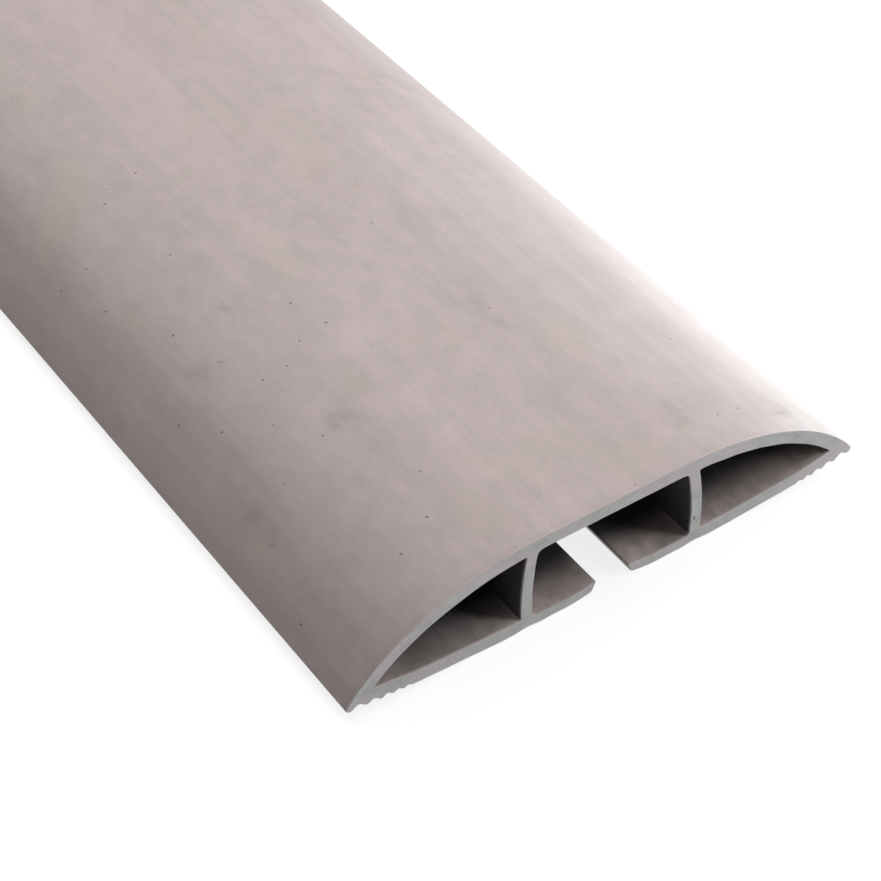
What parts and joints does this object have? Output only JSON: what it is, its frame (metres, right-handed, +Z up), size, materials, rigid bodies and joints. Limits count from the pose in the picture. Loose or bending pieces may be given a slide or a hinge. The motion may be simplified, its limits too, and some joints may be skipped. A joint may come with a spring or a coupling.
{
  "type": "floor cable duct",
  "caption": "Low domed strip of soft plastic that covers cables on a floor, with an open-bottomed centre channel, closed side chambers and thin gripping lips.",
  "frame": {"origin": "middle of the strip's length and width, on the plane of its resting flats", "axes": "+Y along the strip from the end shown in the picture, +X across its width, +Z up out of the domed face"},
  "size_m": [0.076, 1, 0.0143],
  "materials": {
    "soft_pvc": "satin warm grey flexible PVC with faint lengthwise extrusion streaks, saw-cut ends"
  },
  "bodies": {
    "root": {"duct_extrusion": "soft_pvc"}
  },
  "joints": []
}
